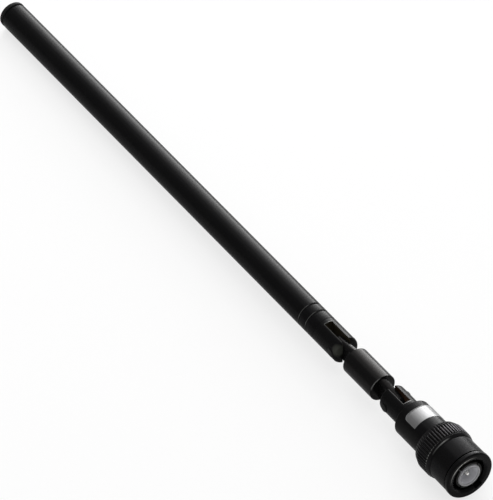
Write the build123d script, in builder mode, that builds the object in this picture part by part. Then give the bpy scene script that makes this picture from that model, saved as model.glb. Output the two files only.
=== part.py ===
from build123d import *
import os
from math import cos, radians, sin

# A telescopic antenna on a bayonet coaxial plug, with two folding joints and seven sections.
# It lies along X: the plug's front face is at x = 0 and looks along +X, the mast runs to -X.
# Both hinge pins lie along Y and both forks are open along Z. Sizes are in millimetres.

# Clearances
running = 0.05  # radial play of turning and sliding fits
side_play = 0.05  # each side of a tongue in its fork
free_gap = 0.25  # between parts that pass each other without guiding
seat_gap = 0.5  # tip cap over the mouth of the folded mast

# Plug interface
contact_dia = 8.1
contact_wall = 0.6
contact_recess = 0.45
contact_seat_step = 0.2  # thinner rear part, under the gasket and in the plug body
contact_seat_depth = 0.7  # in the plug body
contact_step_margin = 0.1  # full diameter ends this far in front of the gasket
contact_slit_count = 4
contact_slit_width = 0.5
contact_slit_length = 5.5
contact_slit_angle = 45.0
contact_crown = 0.12
cup_play = 0.05
cup_wall = 0.65
cup_recess = 0.12
cup_floor_depth = 6.2
cup_edge = 0.2
cup_rear_margin = 0.45  # its shoulder ends this far in front of the housing
insulator_neck_dia = 4.0
pin_dia = 1.35
pin_point_length = 0.45
pin_point_dia = 0.7
pin_recess = 0.9  # tip behind the front face
pin_shank_dia = 1.8
pin_tail_length = 2.8  # held in the lower fork's shank
jack_gap = 0.85  # room round the outer contact for the jack's tube

# Plug body
flange_reach = 0.7  # outside the contact
flange_thickness = 1.5
gasket_thickness = 0.9
neck_step = 0.55
spigot_step = 0.2
spigot_length = 5.4
spigot_chamfer = 0.3

# Coupling ring
sleeve_wall = 1.05
shell_wall = 1.05
shell_flare = 0.1
shell_length = 6.45
lip_rise = 0.175  # above the shell
lip_length = 1.4
lip_rounding = 0.45
lip_edge = 0.15
mouth_step = 0.55
mouth_depth = 0.6
shoulder_drop = 0.525  # below the lip
shoulder_length = 0.35
collar_rise = 0.4
collar_step = 0.1  # at the front of its slope
collar_slope_length = 0.95
collar_length = 1.3
collar_rounding = 1.0
knurl_rise = 0.15
knurl_length = 3.8
knurl_count = 54
knurl_groove_depth = 0.34
knurl_groove_width = 0.56
knurl_run_out = 1.0  # how far the grooves run onto the taper
knurl_end_chamfer = 0.12
taper_length = 1.9
taper_rounding = 0.8
skirt_wall = 1.05
skirt_overlap = 2.1  # of the ring's skirt over the housing
rear_rim_rounding = 0.2
web_thickness = 1.5

# Bayonet ways in the sleeve
way_count = 2
way_angle = 30.0  # from straight up towards -Y
way_width = 2.2
way_entry_depth = 3.4
way_turn = 72.0
way_rise = 2.0
way_seat_dia = 2.35
way_seat_return = 0.25

# Spring between flange and web
thrust_washer_thickness = 0.5
washer_bore_play = 0.1
spring_sheet = 0.3
spring_height = 1.7

# Housing and label
housing_wall = 1.55
housing_length = 13.6
housing_rounding = 0.25
shank_gap = 0.3  # between the spigot and the lower fork's shank
label_sheet = 0.1
label_top_margin = 2.4
label_length = 8.8
label_start_angle = -152.0
label_sweep = 200.0
label_corner = 1.2

# Joints
rod_dia = 8.0
slot_width = 2.4
tongue_end_margin = 0.9  # the tongue's end is this much narrower than the rod, each side
tongue_base_margin = 0.5
fork_rounding = 0.9
shank_step = 1.0
lower_stub_length = 9.7
lower_slot_depth = 7.5
lower_pin_to_end = 2.5
barrel_length = 12.9
barrel_chamfer = 0.2
lower_pin_to_barrel = 6.3
upper_pin_to_barrel = 6.1
upper_pin_to_end = 2.0
upper_slot_depth = 8.7
ferrule_length = 10.0
rivet_dia = 1.6
rivet_head_dia = 3.0
lower_head_height = 0.9
upper_head_height = 0.75
rivet_head_rounding = 0.5
rivet_seat_depth = 0.72  # seat of the head below the crown of the fork
ferrule_spigot_length = 9.3

# Mast
section_count = 6  # tubes, the rod not counted
tip_rod_dia = 2.0
tube_wall = 0.25
mast_tube_length = 154.9
foot_gap = 0.3
mouth_drop = 0.1
neck_length = 1.2
neck_cone = 0.5
mouth_rounding = 0.12
bush_length = 6.0
bush_slit_width = 0.6
crimp_width = 0.7
crimp_depth = 0.22
first_crimp = 3.7  # from the tube's foot
crimp_pitch = 3.3
cap_thickness = 1.3
cap_rounding = 0.35
cap_socket_depth = 0.7

# Tolerance for finding an edge by its place
edge_match = 0.01

# Diameters from the outer contact inwards
contact_bore_dia = contact_dia - 2 * contact_wall
contact_seat_dia = contact_dia - 2 * contact_seat_step
cup_dia = contact_bore_dia - 2 * cup_play
cup_bore_dia = cup_dia - 2 * cup_wall

# Diameters from the outer contact outwards
flange_dia = contact_dia + 2 * flange_reach
neck_dia = flange_dia - 2 * neck_step
spigot_dia = neck_dia - 2 * spigot_step
housing_dia = spigot_dia + 2 * housing_wall
washer_bore_dia = neck_dia + 2 * washer_bore_play
jack_space_dia = contact_dia + 2 * jack_gap
mouth_dia = jack_space_dia + 2 * mouth_step
sleeve_dia = jack_space_dia + 2 * sleeve_wall
shell_dia = sleeve_dia + 2 * shell_wall
lip_dia = shell_dia + 2 * lip_rise
shoulder_dia = lip_dia - 2 * shoulder_drop
collar_dia = shell_dia + 2 * collar_rise
knurl_dia = collar_dia + 2 * knurl_rise
knurl_root_dia = knurl_dia - 2 * knurl_groove_depth
web_bore_dia = neck_dia + 2 * running
skirt_bore_dia = housing_dia + 2 * free_gap
rear_rim_dia = skirt_bore_dia + 2 * skirt_wall

# Sizes of the joints and the mast
lower_shank_dia = rod_dia - 2 * shank_step
tongue_thickness = slot_width - 2 * side_play
tongue_end_dia = rod_dia - 2 * tongue_end_margin
tongue_base_width = rod_dia - 2 * tongue_base_margin
rivet_seat = rod_dia / 2 - rivet_seat_depth
section_step = (rod_dia - tip_rod_dia) / section_count
section_dias = [rod_dia - i * section_step for i in range(section_count)]
next_dias = section_dias[1:] + [tip_rod_dia]

# Stations along X, from the plug's front face towards the tip
x_shoulder = -lip_length
x_shell = x_shoulder - shoulder_length
x_collar = x_shell - shell_length
x_slope_end = x_collar - collar_slope_length
x_knurl = x_collar - collar_length
x_taper = x_knurl - knurl_length
x_knurl_end = x_taper - knurl_run_out
x_rear_rim = x_taper - taper_length
x_housing = x_rear_rim + skirt_overlap
x_web_rear = x_housing + free_gap
x_web = x_web_rear + web_thickness
x_thrust = x_web + running + thrust_washer_thickness
x_bow_middle = x_thrust + running
x_bow_ends = x_bow_middle + spring_height
x_flange_rear = x_bow_ends + running
x_flange = x_flange_rear + flange_thickness
x_gasket = x_flange + gasket_thickness
x_contact = -contact_recess
x_contact_step = x_gasket + contact_step_margin
x_contact_rear = x_flange - contact_seat_depth
x_cup = -cup_recess
x_cup_floor = x_cup - cup_floor_depth
x_cup_rear = x_housing + cup_rear_margin
x_housing_top = x_housing - housing_length
x_spigot_end = x_housing - spigot_length
x_shank_end = x_spigot_end - shank_gap
x_pin_tip = -pin_recess
x_pin_point = x_pin_tip - pin_point_length
x_pin_tail = x_shank_end - pin_tail_length
x_label_top = x_housing_top + label_top_margin
x_lower_fork_end = x_housing_top - lower_stub_length
x_lower_pin = x_lower_fork_end + lower_pin_to_end
x_barrel = x_lower_pin - lower_pin_to_barrel
x_barrel_rear = x_barrel - barrel_length
x_upper_pin = x_barrel_rear - upper_pin_to_barrel
x_ferrule = x_upper_pin + upper_pin_to_end
x_tube_foot = x_ferrule - ferrule_length
x_spigot_top = x_tube_foot - ferrule_spigot_length
x_mouth = x_tube_foot - mast_tube_length
x_section_foot = x_spigot_top - foot_gap
x_section_mouth = x_mouth + mouth_drop
x_cap = x_mouth - seat_gap
x_tip = x_cap - cap_thickness
crimp_stations = [x_tube_foot - first_crimp - i * crimp_pitch for i in range(2)]

os.makedirs("parts", exist_ok=True)


def ring(front, rear, inner_dia, outer_dia):
    """Draw the section of a turned ring between two stations, above the X axis."""
    with Locations(((front + rear) / 2, (inner_dia + outer_dia) / 4)):
        Rectangle(front - rear, (outer_dia - inner_dia) / 2)


def outline(*points):
    """Draw the section of a turned part from (station, diameter) pairs."""
    Polygon(*[(x, dia / 2) for x, dia in points], align=None)


def crimp(x, dia):
    """Three points of a rolled groove, from the foot's side to the tip's side."""
    return [
        (x + crimp_width / 2, dia),
        (x, dia - 2 * crimp_depth),
        (x - crimp_width / 2, dia),
    ]


def outward(angle):
    """The direction out from the X axis, at an angle from straight up towards -Y."""
    return (0, -sin(radians(angle)), cos(radians(angle)))


def radial_plane(angle):
    """A plane that holds the X axis, its y axis pointing outward at an angle."""
    return Plane(origin=(0, 0, 0), x_dir=(1, 0, 0), z_dir=outward(angle - 90))


def tangent_plane(angle, x):
    """A plane through a point of the X axis that looks outward at an angle."""
    return Plane(origin=(x, 0, 0), x_dir=(1, 0, 0), z_dir=outward(angle))


def rim(part, x, dia):
    """The circular edges of a turned part at one station, of one diameter."""
    circles = part.edges().filter_by(GeomType.CIRCLE)
    at_station = circles.filter_by_position(Axis.X, x - edge_match, x + edge_match)
    return [edge for edge in at_station if abs(edge.radius - dia / 2) < edge_match]


# Centre pin: pointed front, thicker shank through the insulator, tail in the lower fork
with BuildPart() as centre_pin:
    with BuildSketch(Plane.XY):
        outline(
            (x_pin_tip, 0),
            (x_pin_tip, pin_point_dia),
            (x_pin_point, pin_dia),
            (x_cup_floor, pin_dia),
            (x_cup_floor, pin_shank_dia),
            (x_pin_tail, pin_shank_dia),
            (x_pin_tail, 0),
        )
    revolve(axis=Axis.X)
centre_pin.part.label = "centre_pin"
export_step(centre_pin.part, "parts/centre_pin.step")

# Insulator: an open cup in front, a floor, and a neck that reaches the housing's bore
with BuildPart() as insulator:
    with BuildSketch(Plane.XY):
        outline(
            (x_cup, cup_bore_dia + 2 * cup_edge),
            (x_cup, cup_dia - cup_edge),
            (x_cup - cup_edge, cup_dia),
            (x_cup_rear, cup_dia),
            (x_cup_rear, insulator_neck_dia),
            (x_shank_end, insulator_neck_dia),
            (x_shank_end, pin_shank_dia),
            (x_cup_floor, pin_shank_dia),
            (x_cup_floor, cup_bore_dia),
            (x_cup - cup_edge, cup_bore_dia),
        )
    revolve(axis=Axis.X)
insulator.part.label = "insulator"
export_step(insulator.part, "parts/insulator.step")

# Outer contact: a thin slit sleeve with a crowned front edge
with BuildPart() as outer_contact:
    with BuildSketch(Plane.XY):
        outline(
            (x_contact, contact_bore_dia),
            (x_contact, contact_dia - 2 * contact_crown),
            (x_contact - contact_crown, contact_dia),
            (x_contact_step, contact_dia),
            (x_contact_step, contact_seat_dia),
            (x_contact_rear, contact_seat_dia),
            (x_contact_rear, contact_bore_dia),
        )
    revolve(axis=Axis.X)
    for i in range(contact_slit_count // 2):
        angle = contact_slit_angle + i * 360 / contact_slit_count
        with BuildSketch(tangent_plane(angle, x_contact - contact_slit_length / 2)):
            Rectangle(contact_slit_length, contact_slit_width)
        extrude(amount=contact_dia, both=True, mode=Mode.SUBTRACT)
outer_contact.part.label = "outer_contact"
export_step(outer_contact.part, "parts/outer_contact.step")

# Plug body: flange in front, neck under the coupling ring, spigot in the housing
with BuildPart() as plug_body:
    with BuildSketch(Plane.XY):
        outline(
            (x_flange, contact_seat_dia),
            (x_flange, flange_dia),
            (x_flange_rear, flange_dia),
            (x_flange_rear, neck_dia),
            (x_housing, neck_dia),
            (x_housing, spigot_dia),
            (x_spigot_end + spigot_chamfer, spigot_dia),
            (x_spigot_end, spigot_dia - 2 * spigot_chamfer),
            (x_spigot_end, insulator_neck_dia),
            (x_cup_rear, insulator_neck_dia),
            (x_cup_rear, cup_dia),
            (x_contact_rear, cup_dia),
            (x_contact_rear, contact_seat_dia),
        )
    revolve(axis=Axis.X)
plug_body.part.label = "plug_body"
export_step(plug_body.part, "parts/plug_body.step")

# Gasket in front of the flange
with BuildPart() as gasket:
    with BuildSketch(Plane.XY):
        ring(x_gasket, x_flange, contact_seat_dia, flange_dia)
    revolve(axis=Axis.X)
gasket.part.label = "gasket"
export_step(gasket.part, "parts/gasket.step")

# Thrust washer in front of the coupling ring's web
with BuildPart() as thrust_washer:
    with BuildSketch(Plane.XY):
        ring(x_thrust, x_web + running, washer_bore_dia, flange_dia)
    revolve(axis=Axis.X)
thrust_washer.part.label = "thrust_washer"
export_step(thrust_washer.part, "parts/thrust_washer.step")

# Bowed spring washer between the flange and the thrust washer, bent about Z
bow_reach = flange_dia / 2
with BuildPart() as spring_washer:
    with BuildSketch(Plane.XY):
        with BuildLine():
            ThreePointArc(
                (x_bow_ends, -bow_reach), (x_bow_middle + spring_sheet, 0), (x_bow_ends, bow_reach)
            )
            Line((x_bow_ends, bow_reach), (x_bow_ends - spring_sheet, bow_reach))
            ThreePointArc(
                (x_bow_ends - spring_sheet, bow_reach),
                (x_bow_middle, 0),
                (x_bow_ends - spring_sheet, -bow_reach),
            )
            Line((x_bow_ends - spring_sheet, -bow_reach), (x_bow_ends, -bow_reach))
        make_face()
    extrude(amount=bow_reach, both=True)
    with BuildSketch(Plane.YZ.offset(x_flange_rear)):
        Circle(flange_dia / 2)
        Circle(washer_bore_dia / 2, mode=Mode.SUBTRACT)
    extrude(amount=x_thrust - x_flange_rear, mode=Mode.INTERSECT)
spring_washer.part.label = "spring_washer"
export_step(spring_washer.part, "parts/spring_washer.step")

# Bayonet sleeve: front lip, bore for the jack, and two ways that climb to their seats
ramp_radius = (jack_space_dia + sleeve_dia) / 4
cut_depth = sleeve_dia - jack_space_dia
climb = Helix(pitch=way_rise * 360 / way_turn, height=way_rise, radius=ramp_radius)
with BuildPart() as bayonet_sleeve:
    with BuildSketch(Plane.XY):
        outline(
            (0, mouth_dia),
            (0, lip_dia),
            (x_shoulder, lip_dia),
            (x_shoulder, shoulder_dia),
            (x_shell, shoulder_dia),
            (x_shell, sleeve_dia),
            (x_web, sleeve_dia),
            (x_web, jack_space_dia),
            (-mouth_depth, jack_space_dia),
        )
    revolve(axis=Axis.X)
    fillet(rim(bayonet_sleeve, 0, lip_dia), lip_rounding)
    fillet(rim(bayonet_sleeve, x_shoulder, lip_dia), lip_edge)
    for i in range(way_count):
        angle = way_angle + i * 360 / way_count
        # Straight entry from the front
        with BuildSketch(tangent_plane(angle, -way_entry_depth / 2)):
            Rectangle(way_entry_depth, way_width)
        extrude(amount=sleeve_dia / 2, mode=Mode.SUBTRACT)
        with BuildSketch(tangent_plane(angle, -way_entry_depth)):
            Circle(way_width / 2)
        extrude(amount=sleeve_dia / 2, mode=Mode.SUBTRACT)
        # Climb along a helix
        start = Plane(origin=(-way_entry_depth, 0, 0), x_dir=outward(angle), z_dir=(-1, 0, 0))
        path = start * climb
        with BuildSketch(Plane(path @ 0, x_dir=outward(angle), z_dir=path % 0)):
            Rectangle(cut_depth, way_width)
        sweep(path=path, is_frenet=True, mode=Mode.SUBTRACT)
        # Seat at the end of the climb
        seat_x = -way_entry_depth - way_rise + way_seat_return
        with BuildSketch(tangent_plane(angle - way_turn, seat_x)):
            Circle(way_seat_dia / 2)
        extrude(amount=sleeve_dia / 2, mode=Mode.SUBTRACT)
bayonet_sleeve.part.label = "bayonet_sleeve"
export_step(bayonet_sleeve.part, "parts/bayonet_sleeve.step")

# Coupling shell: flared front, sloping collar, straight knurl that runs onto the rear taper
with BuildPart() as coupling_shell:
    with BuildSketch(Plane.XY):
        outline(
            (x_shell, sleeve_dia),
            (x_shell, shell_dia + shell_flare),
            (x_collar, shell_dia),
            (x_collar, shell_dia + 2 * collar_step),
            (x_slope_end, collar_dia),
            (x_knurl, collar_dia),
            (x_knurl, knurl_dia - 2 * knurl_end_chamfer),
            (x_knurl - knurl_end_chamfer, knurl_dia),
            (x_taper, knurl_dia),
            (x_rear_rim, rear_rim_dia),
            (x_rear_rim, skirt_bore_dia),
            (x_web_rear, skirt_bore_dia),
            (x_web_rear, web_bore_dia),
            (x_web, web_bore_dia),
            (x_web, sleeve_dia),
        )
    revolve(axis=Axis.X)
    fillet(rim(coupling_shell, x_slope_end, collar_dia), collar_rounding)
    fillet(rim(coupling_shell, x_taper, knurl_dia), taper_rounding)
    fillet(rim(coupling_shell, x_rear_rim, rear_rim_dia), rear_rim_rounding)
    with BuildSketch(Plane.YZ.offset(x_knurl)):
        with PolarLocations(knurl_root_dia / 2, knurl_count, start_angle=180 / knurl_count):
            Polygon(
                (0, 0),
                (knurl_groove_depth, knurl_groove_width / 2),
                (2 * knurl_groove_depth, knurl_groove_width / 2),
                (2 * knurl_groove_depth, -knurl_groove_width / 2),
                (knurl_groove_depth, -knurl_groove_width / 2),
                align=None,
            )
    extrude(amount=x_knurl_end - x_knurl, mode=Mode.SUBTRACT)
coupling_shell.part.label = "coupling_shell"
export_step(coupling_shell.part, "parts/coupling_shell.step")

# Housing over the spigot and the lower fork's shank
with BuildPart() as housing:
    with BuildSketch(Plane.XY):
        outline(
            (x_housing, spigot_dia),
            (x_housing, housing_dia),
            (x_housing_top, housing_dia),
            (x_housing_top, lower_shank_dia),
            (x_shank_end, lower_shank_dia),
            (x_shank_end, spigot_dia),
        )
    revolve(axis=Axis.X)
    fillet(rim(housing, x_housing_top, housing_dia), housing_rounding)
housing.part.label = "housing"
export_step(housing.part, "parts/housing.step")

# Foil label wrapped round the housing, with rounded corners
with BuildPart() as label:
    with BuildSketch(radial_plane(label_start_angle)):
        ring(x_label_top + label_length, x_label_top, housing_dia, housing_dia + 2 * label_sheet)
    revolve(axis=Axis.X, revolution_arc=label_sweep)
    # Round the four corners
    for angle, side in ((label_start_angle, -1), (label_start_angle + label_sweep, 1)):
        for x_edge, way in ((x_label_top, 1), (x_label_top + label_length, -1)):
            with BuildSketch(tangent_plane(angle, x_edge)):
                Rectangle(2 * label_corner, 2 * label_corner)
                with Locations((way * label_corner, side * label_corner)):
                    Circle(label_corner, mode=Mode.SUBTRACT)
                with Locations((way * 2 * label_corner, 0), (0, side * 2 * label_corner)):
                    Rectangle(2 * label_corner, 2 * label_corner, mode=Mode.SUBTRACT)
            extrude(amount=housing_dia, mode=Mode.SUBTRACT)
label.part.label = "label"
export_step(label.part, "parts/label.step")

# Lower fork: shank in the housing, slot along Z, seats for the rivet's heads along Y
with BuildPart() as lower_fork:
    with BuildSketch(Plane.XY):
        outline(
            (x_shank_end, pin_shank_dia),
            (x_shank_end, lower_shank_dia),
            (x_housing_top, lower_shank_dia),
            (x_housing_top, rod_dia),
            (x_lower_fork_end, rod_dia),
            (x_lower_fork_end, 0),
            (x_pin_tail, 0),
            (x_pin_tail, pin_shank_dia),
        )
    revolve(axis=Axis.X)
    fillet(rim(lower_fork, x_lower_fork_end, rod_dia), fork_rounding)
    with BuildSketch(Plane.XY):
        with Locations((x_lower_fork_end + lower_slot_depth / 2, 0)):
            Rectangle(lower_slot_depth, slot_width)
    extrude(amount=rod_dia, both=True, mode=Mode.SUBTRACT)
    with BuildSketch(Plane.XZ):
        with Locations((x_lower_pin, 0)):
            Circle(rivet_dia / 2)
    extrude(amount=rod_dia, both=True, mode=Mode.SUBTRACT)
    with BuildSketch(Plane.XZ.offset(rivet_seat), (-Plane.XZ).offset(rivet_seat)):
        with Locations((x_lower_pin, 0)):
            Circle(rivet_head_dia / 2)
    extrude(amount=rivet_seat_depth, mode=Mode.SUBTRACT)
lower_fork.part.label = "lower_fork"
export_step(lower_fork.part, "parts/lower_fork.step")

# Link: a short barrel with a tongue at each end
x_link_middle = (x_barrel + x_barrel_rear) / 2
with BuildPart() as link:
    with BuildSketch(Plane.XY):
        ring(x_barrel, x_barrel_rear, 0, rod_dia)
    revolve(axis=Axis.X)
    chamfer(rim(link, x_barrel, rod_dia) + rim(link, x_barrel_rear, rod_dia), barrel_chamfer)
    for x_pin, x_face in ((x_lower_pin, x_barrel), (x_upper_pin, x_barrel_rear)):
        with BuildSketch(Plane.XZ):
            Polygon(
                (x_pin, tongue_end_dia / 2),
                (x_pin, -tongue_end_dia / 2),
                (x_face, -tongue_base_width / 2),
                (x_link_middle, -tongue_base_width / 2),
                (x_link_middle, tongue_base_width / 2),
                (x_face, tongue_base_width / 2),
                align=None,
            )
            with Locations((x_pin, 0)):
                Circle(tongue_end_dia / 2)
                Circle(rivet_dia / 2 + running, mode=Mode.SUBTRACT)
        extrude(amount=tongue_thickness / 2, both=True)
link.part.label = "link"
export_step(link.part, "parts/link.step")

# Rivets with rounded heads, one through each fork
for name, x_pin, head_height in (
    ("lower_rivet", x_lower_pin, lower_head_height),
    ("upper_rivet", x_upper_pin, upper_head_height),
):
    head_top = rivet_seat + head_height
    head_middle = rivet_seat + head_height / 2
    with BuildPart() as rivet:
        with BuildSketch(Plane.XY):
            with Locations((x_pin + rivet_dia / 4, 0)):
                Rectangle(rivet_dia / 2, 2 * head_top)
            for y_head in (head_middle, -head_middle):
                with Locations((x_pin + rivet_head_dia / 4, y_head)):
                    Rectangle(rivet_head_dia / 2, head_height)
        revolve(axis=Axis((x_pin, 0, 0), (0, 1, 0)))
        ends = rivet.faces().sort_by(Axis.Y)
        fillet(ends[0].edges() + ends[-1].edges(), rivet_head_rounding)
    rivet.part.label = name
    export_step(rivet.part, f"parts/{name}.step")

# Upper fork: slot for the link, and a grooved spigot crimped in the mast tube
tube_bore_dia = rod_dia - 2 * tube_wall
with BuildPart() as mast_fork:
    with BuildSketch(Plane.XY):
        outline(
            (x_ferrule, 0),
            (x_ferrule, rod_dia),
            (x_tube_foot, rod_dia),
            (x_tube_foot, tube_bore_dia),
            *[point for x in crimp_stations for point in crimp(x, tube_bore_dia)],
            (x_spigot_top, tube_bore_dia),
            (x_spigot_top, 0),
        )
    revolve(axis=Axis.X)
    fillet(rim(mast_fork, x_ferrule, rod_dia), fork_rounding)
    with BuildSketch(Plane.XY):
        with Locations((x_ferrule - upper_slot_depth / 2, 0)):
            Rectangle(upper_slot_depth, slot_width)
    extrude(amount=rod_dia, both=True, mode=Mode.SUBTRACT)
    with BuildSketch(Plane.XZ):
        with Locations((x_upper_pin, 0)):
            Circle(rivet_dia / 2)
    extrude(amount=rod_dia, both=True, mode=Mode.SUBTRACT)
    with BuildSketch(Plane.XZ.offset(rivet_seat), (-Plane.XZ).offset(rivet_seat)):
        with Locations((x_upper_pin, 0)):
            Circle(rivet_head_dia / 2)
    extrude(amount=rivet_seat_depth, mode=Mode.SUBTRACT)
mast_fork.part.label = "mast_fork"
export_step(mast_fork.part, "parts/mast_fork.step")

# Mast tubes, each necked in at its mouth round the next section
for i, (dia, next_dia) in enumerate(zip(section_dias, next_dias)):
    bore_dia = dia - 2 * tube_wall
    neck_dia_inside = next_dia + 2 * running
    x_foot = x_section_foot if i else x_tube_foot
    x_end = x_section_mouth if i else x_mouth
    crimps = [] if i else crimp_stations
    with BuildPart() as tube:
        with BuildSketch(Plane.XY):
            outline(
                (x_foot, bore_dia),
                (x_foot, dia),
                *[point for x in crimps for point in crimp(x, dia)],
                (x_end + mouth_rounding, dia),
                (x_end, dia - 2 * mouth_rounding),
                (x_end, neck_dia_inside),
                (x_end + neck_length, neck_dia_inside),
                (x_end + neck_length + neck_cone, bore_dia),
                *[point for x in reversed(crimps) for point in reversed(crimp(x, bore_dia))],
            )
        revolve(axis=Axis.X)
    tube.part.label = f"tube_{i + 1}"
    export_step(tube.part, f"parts/tube_{i + 1}.step")

# Spring bushes on the feet of the sliding sections, split so that they grip the tube outside
for i, (dia, next_dia) in enumerate(zip(section_dias, next_dias)):
    grip_dia = dia - 2 * tube_wall - 2 * running
    with BuildPart() as bush:
        with BuildSketch(Plane.XY):
            ring(x_section_foot, x_section_foot - bush_length, next_dia, grip_dia)
        revolve(axis=Axis.X)
        with BuildSketch(tangent_plane(0, x_section_foot - bush_length / 2)):
            Rectangle(bush_length, bush_slit_width)
        extrude(amount=grip_dia, mode=Mode.SUBTRACT)
    bush.part.label = f"slide_bush_{i + 2}"
    export_step(bush.part, f"parts/slide_bush_{i + 2}.step")

# Tip rod and its cap
with BuildPart() as tip_rod:
    with BuildSketch(Plane.XY):
        ring(x_section_foot, x_cap - cap_socket_depth, 0, tip_rod_dia)
    revolve(axis=Axis.X)
tip_rod.part.label = "tip_rod"
export_step(tip_rod.part, "parts/tip_rod.step")

with BuildPart() as tip_cap:
    with BuildSketch(Plane.XY):
        outline(
            (x_cap, tip_rod_dia),
            (x_cap, rod_dia),
            (x_tip, rod_dia),
            (x_tip, 0),
            (x_cap - cap_socket_depth, 0),
            (x_cap - cap_socket_depth, tip_rod_dia),
        )
    revolve(axis=Axis.X)
    fillet(rim(tip_cap, x_cap, rod_dia) + rim(tip_cap, x_tip, rod_dia), cap_rounding)
tip_cap.part.label = "tip_cap"
export_step(tip_cap.part, "parts/tip_cap.step")
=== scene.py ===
from math import asin, atan2, ceil, cos, hypot, pi, radians, sin, sqrt, tan

import bmesh
import bpy
from mathutils import Matrix, Vector


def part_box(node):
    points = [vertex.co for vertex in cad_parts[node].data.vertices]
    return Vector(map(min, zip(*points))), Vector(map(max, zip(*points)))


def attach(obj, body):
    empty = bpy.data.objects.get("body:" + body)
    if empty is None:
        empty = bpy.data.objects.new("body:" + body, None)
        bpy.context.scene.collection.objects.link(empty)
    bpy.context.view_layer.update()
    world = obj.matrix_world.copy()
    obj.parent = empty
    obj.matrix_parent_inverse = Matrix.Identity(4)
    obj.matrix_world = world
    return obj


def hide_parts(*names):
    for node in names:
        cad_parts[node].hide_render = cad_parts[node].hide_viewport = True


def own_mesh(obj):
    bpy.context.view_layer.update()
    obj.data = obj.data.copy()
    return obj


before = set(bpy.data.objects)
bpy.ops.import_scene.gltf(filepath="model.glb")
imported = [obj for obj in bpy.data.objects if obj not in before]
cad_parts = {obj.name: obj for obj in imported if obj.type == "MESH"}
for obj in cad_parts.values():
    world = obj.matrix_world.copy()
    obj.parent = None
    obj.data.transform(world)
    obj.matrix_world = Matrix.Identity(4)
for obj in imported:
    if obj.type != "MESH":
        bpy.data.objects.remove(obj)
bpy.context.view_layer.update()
scene = bpy.context.scene

# The antenna lies along X: the plug's front face is at x = 0, the mast runs to -X.
# Profiles are (station, radius) pairs in millimetres; meshes are in metres.
MM = 0.001
AROUND = 192  # faces round a turned part
ARC_STEP = radians(15)  # of a rounded edge
EDGE_SOFT = 0.03  # of a mask's limits, in millimetres
FAR = 9  # further from the X axis than every surface, in millimetres
PAST_END = 1  # of a cut beyond the end that it opens, in millimetres
BUMP_HEIGHT = 0.00002  # of a fine grain, in metres


def station(node, end):
    """The front (1) or rear (0) station of a node, in millimetres."""
    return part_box(node)[end].x / MM


def radius(node):
    """The outer radius of a turned node, in millimetres."""
    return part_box(node)[1].z / MM


# Surface finishes

def new_material(name):
    """A material with its node tree and its shader."""
    material = bpy.data.materials.new(name)
    material.use_nodes = True
    tree = material.node_tree
    return material, tree, tree.nodes["Principled BSDF"]


def add_node(tree, kind, **values):
    """A new node; values name its attributes, or its sockets with spaces as underscores."""
    node = tree.nodes.new(kind)
    for key, value in values.items():
        socket = key.replace("_", " ")
        if hasattr(node, key):
            setattr(node, key, value)
        else:
            node.inputs[socket].default_value = value
    return node


def noise(tree, scale, detail=3.0, stretch=(1, 1, 1)):
    """Noise in object space; scale counts its cells in a metre."""
    place = add_node(tree, "ShaderNodeTexCoord")
    mapping = add_node(tree, "ShaderNodeMapping")
    mapping.inputs["Scale"].default_value = stretch
    texture = add_node(tree, "ShaderNodeTexNoise", Scale=scale, Detail=detail)
    tree.links.new(place.outputs["Object"], mapping.inputs["Vector"])
    tree.links.new(mapping.outputs["Vector"], texture.inputs["Vector"])
    return texture.outputs["Fac"]


def spread(tree, value, low, high, start=0.3, end=0.7):
    """Map a noise value to a range."""
    node = add_node(tree, "ShaderNodeMapRange")
    limits = {"From Min": start, "From Max": end, "To Min": low, "To Max": high}
    for name, number in limits.items():
        node.inputs[name].default_value = number
    tree.links.new(value, node.inputs["Value"])
    return node.outputs["Result"]


def mix(tree, factor, first, second):
    """Blend two numbers or two colours; the first may be a socket."""
    colour = isinstance(second, tuple)
    node = add_node(tree, "ShaderNodeMix", data_type="RGBA" if colour else "FLOAT")
    tree.links.new(factor, node.inputs["Factor"])
    for name, value in (("A", first), ("B", second)):
        socket = next(s for s in node.inputs if s.name == name and s.enabled)
        if isinstance(value, bpy.types.NodeSocket):
            tree.links.new(value, socket)
        else:
            socket.default_value = (*value, 1) if colour else value
    return next(s for s in node.outputs if s.enabled)


def both(tree, first, second):
    """The product of two masks."""
    node = add_node(tree, "ShaderNodeMath", operation="MULTIPLY")
    tree.links.new(first, node.inputs[0])
    tree.links.new(second, node.inputs[1])
    return node.outputs[0]


def within(tree, **ranges):
    """1 inside ranges of x, of y, of the distance r from the X axis and of the distance w
    from the XZ plane, all in millimetres, and 0 elsewhere."""
    place = add_node(tree, "ShaderNodeTexCoord")
    axes = add_node(tree, "ShaderNodeSeparateXYZ")
    tree.links.new(place.outputs["Object"], axes.inputs["Vector"])
    result = None
    for name, (low, high) in ranges.items():
        if name in ("x", "y"):
            value = axes.outputs[name.upper()]
        elif name == "w":
            node = add_node(tree, "ShaderNodeMath", operation="ABSOLUTE")
            tree.links.new(axes.outputs["Y"], node.inputs[0])
            value = node.outputs[0]
        else:
            across = add_node(tree, "ShaderNodeCombineXYZ")
            tree.links.new(axes.outputs["Y"], across.inputs["Y"])
            tree.links.new(axes.outputs["Z"], across.inputs["Z"])
            node = add_node(tree, "ShaderNodeVectorMath", operation="LENGTH")
            tree.links.new(across.outputs["Vector"], node.inputs[0])
            value = node.outputs["Value"]
        for limit, sign in ((low, 1), (high, -1)):
            edge = spread(tree, value, (1 - sign) / 2, (1 + sign) / 2,
                          (limit - EDGE_SOFT) * MM, (limit + EDGE_SOFT) * MM)
            result = both(tree, result, edge) if result else edge
    return result


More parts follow.
